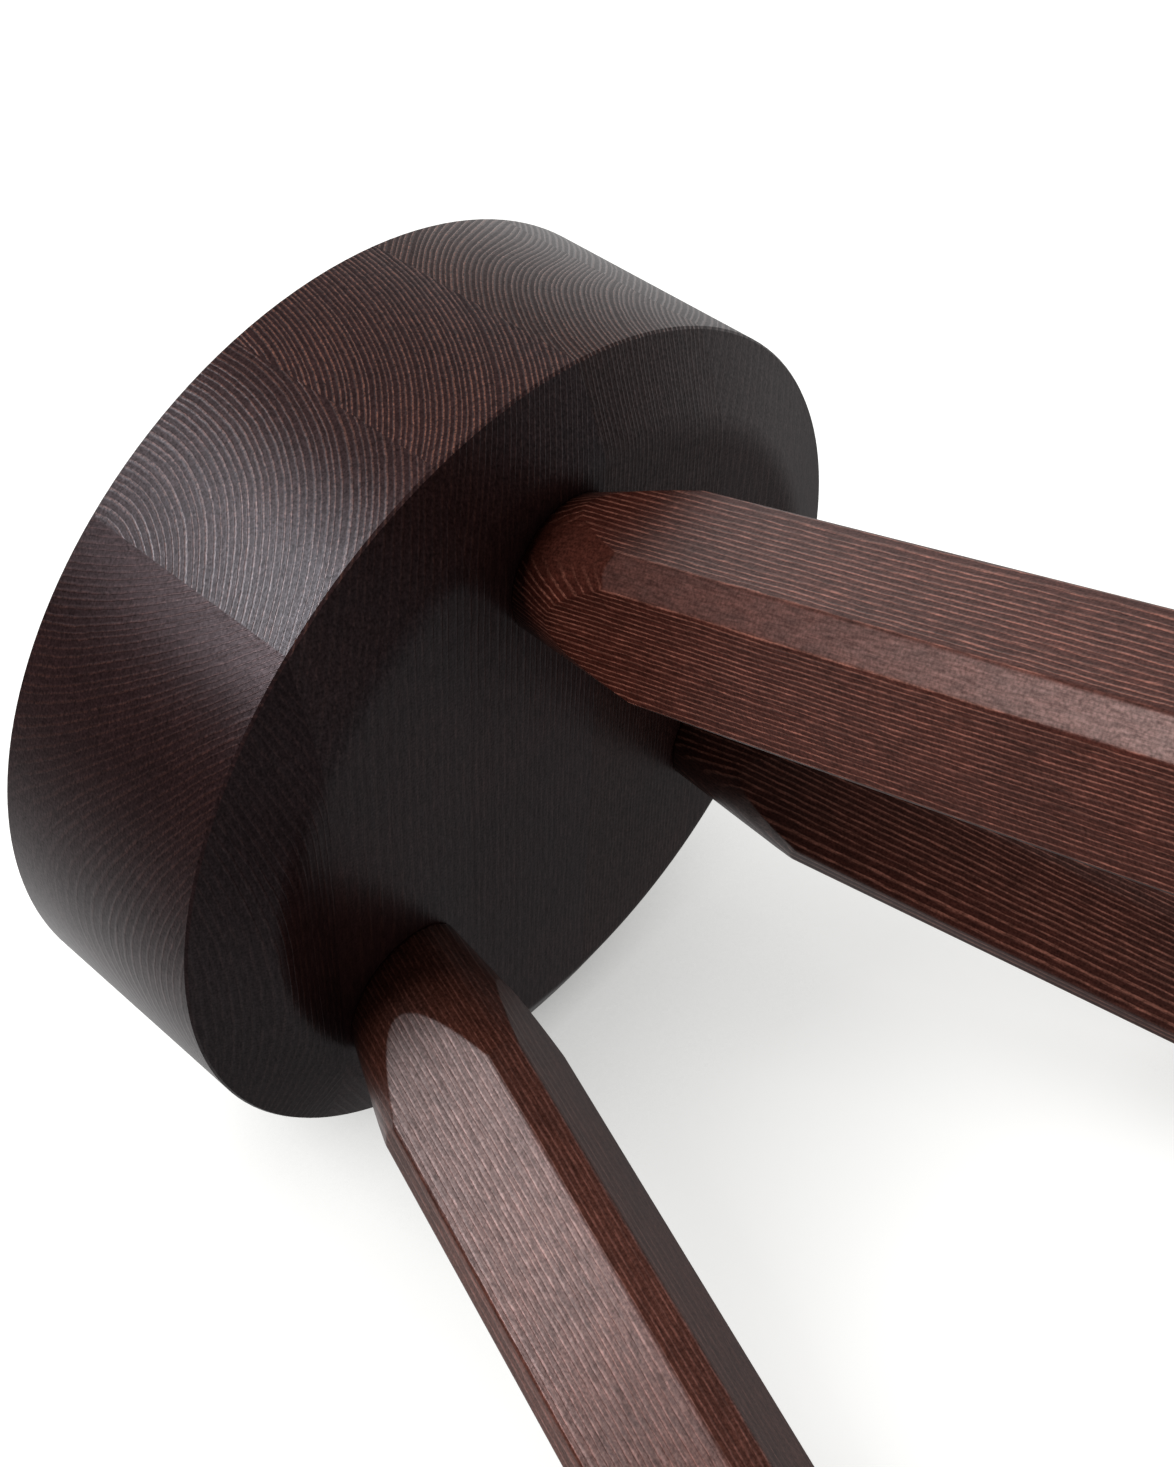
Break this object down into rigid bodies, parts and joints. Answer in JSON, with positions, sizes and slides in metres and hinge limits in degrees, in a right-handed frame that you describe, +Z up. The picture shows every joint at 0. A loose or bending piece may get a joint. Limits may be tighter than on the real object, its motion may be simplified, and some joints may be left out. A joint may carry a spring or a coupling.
{
  "type": "stool",
  "caption": "Low round stool: a thick edge-glued softwood seat, bevelled underneath, on splayed chamfered legs that narrow to a cone where they enter the seat.",
  "frame": {"origin": "on the floor, in the middle of the box that the seat and the three feet take up; the seat's own axis is vertical at x = 38.5 mm, y = 0", "axes": "+Z up, out of the seat top; +X from the left foot towards the seat; -Y is the front"},
  "size_m": [0.4277, 0.4572, 0.45],
  "materials": {
    "seat_wood": "satin",
    "leg_wood": "satin"
  },
  "bodies": {
    "root": {"seat_board_1": "seat_wood", "seat_board_2": "seat_wood", "seat_board_3": "seat_wood", "seat_board_4": "seat_wood", "seat_board_5": "seat_wood", "seat_board_6": "seat_wood", "leg_front": "leg_wood", "leg_back": "leg_wood", "leg_left": "leg_wood"}
  },
  "joints": []
}
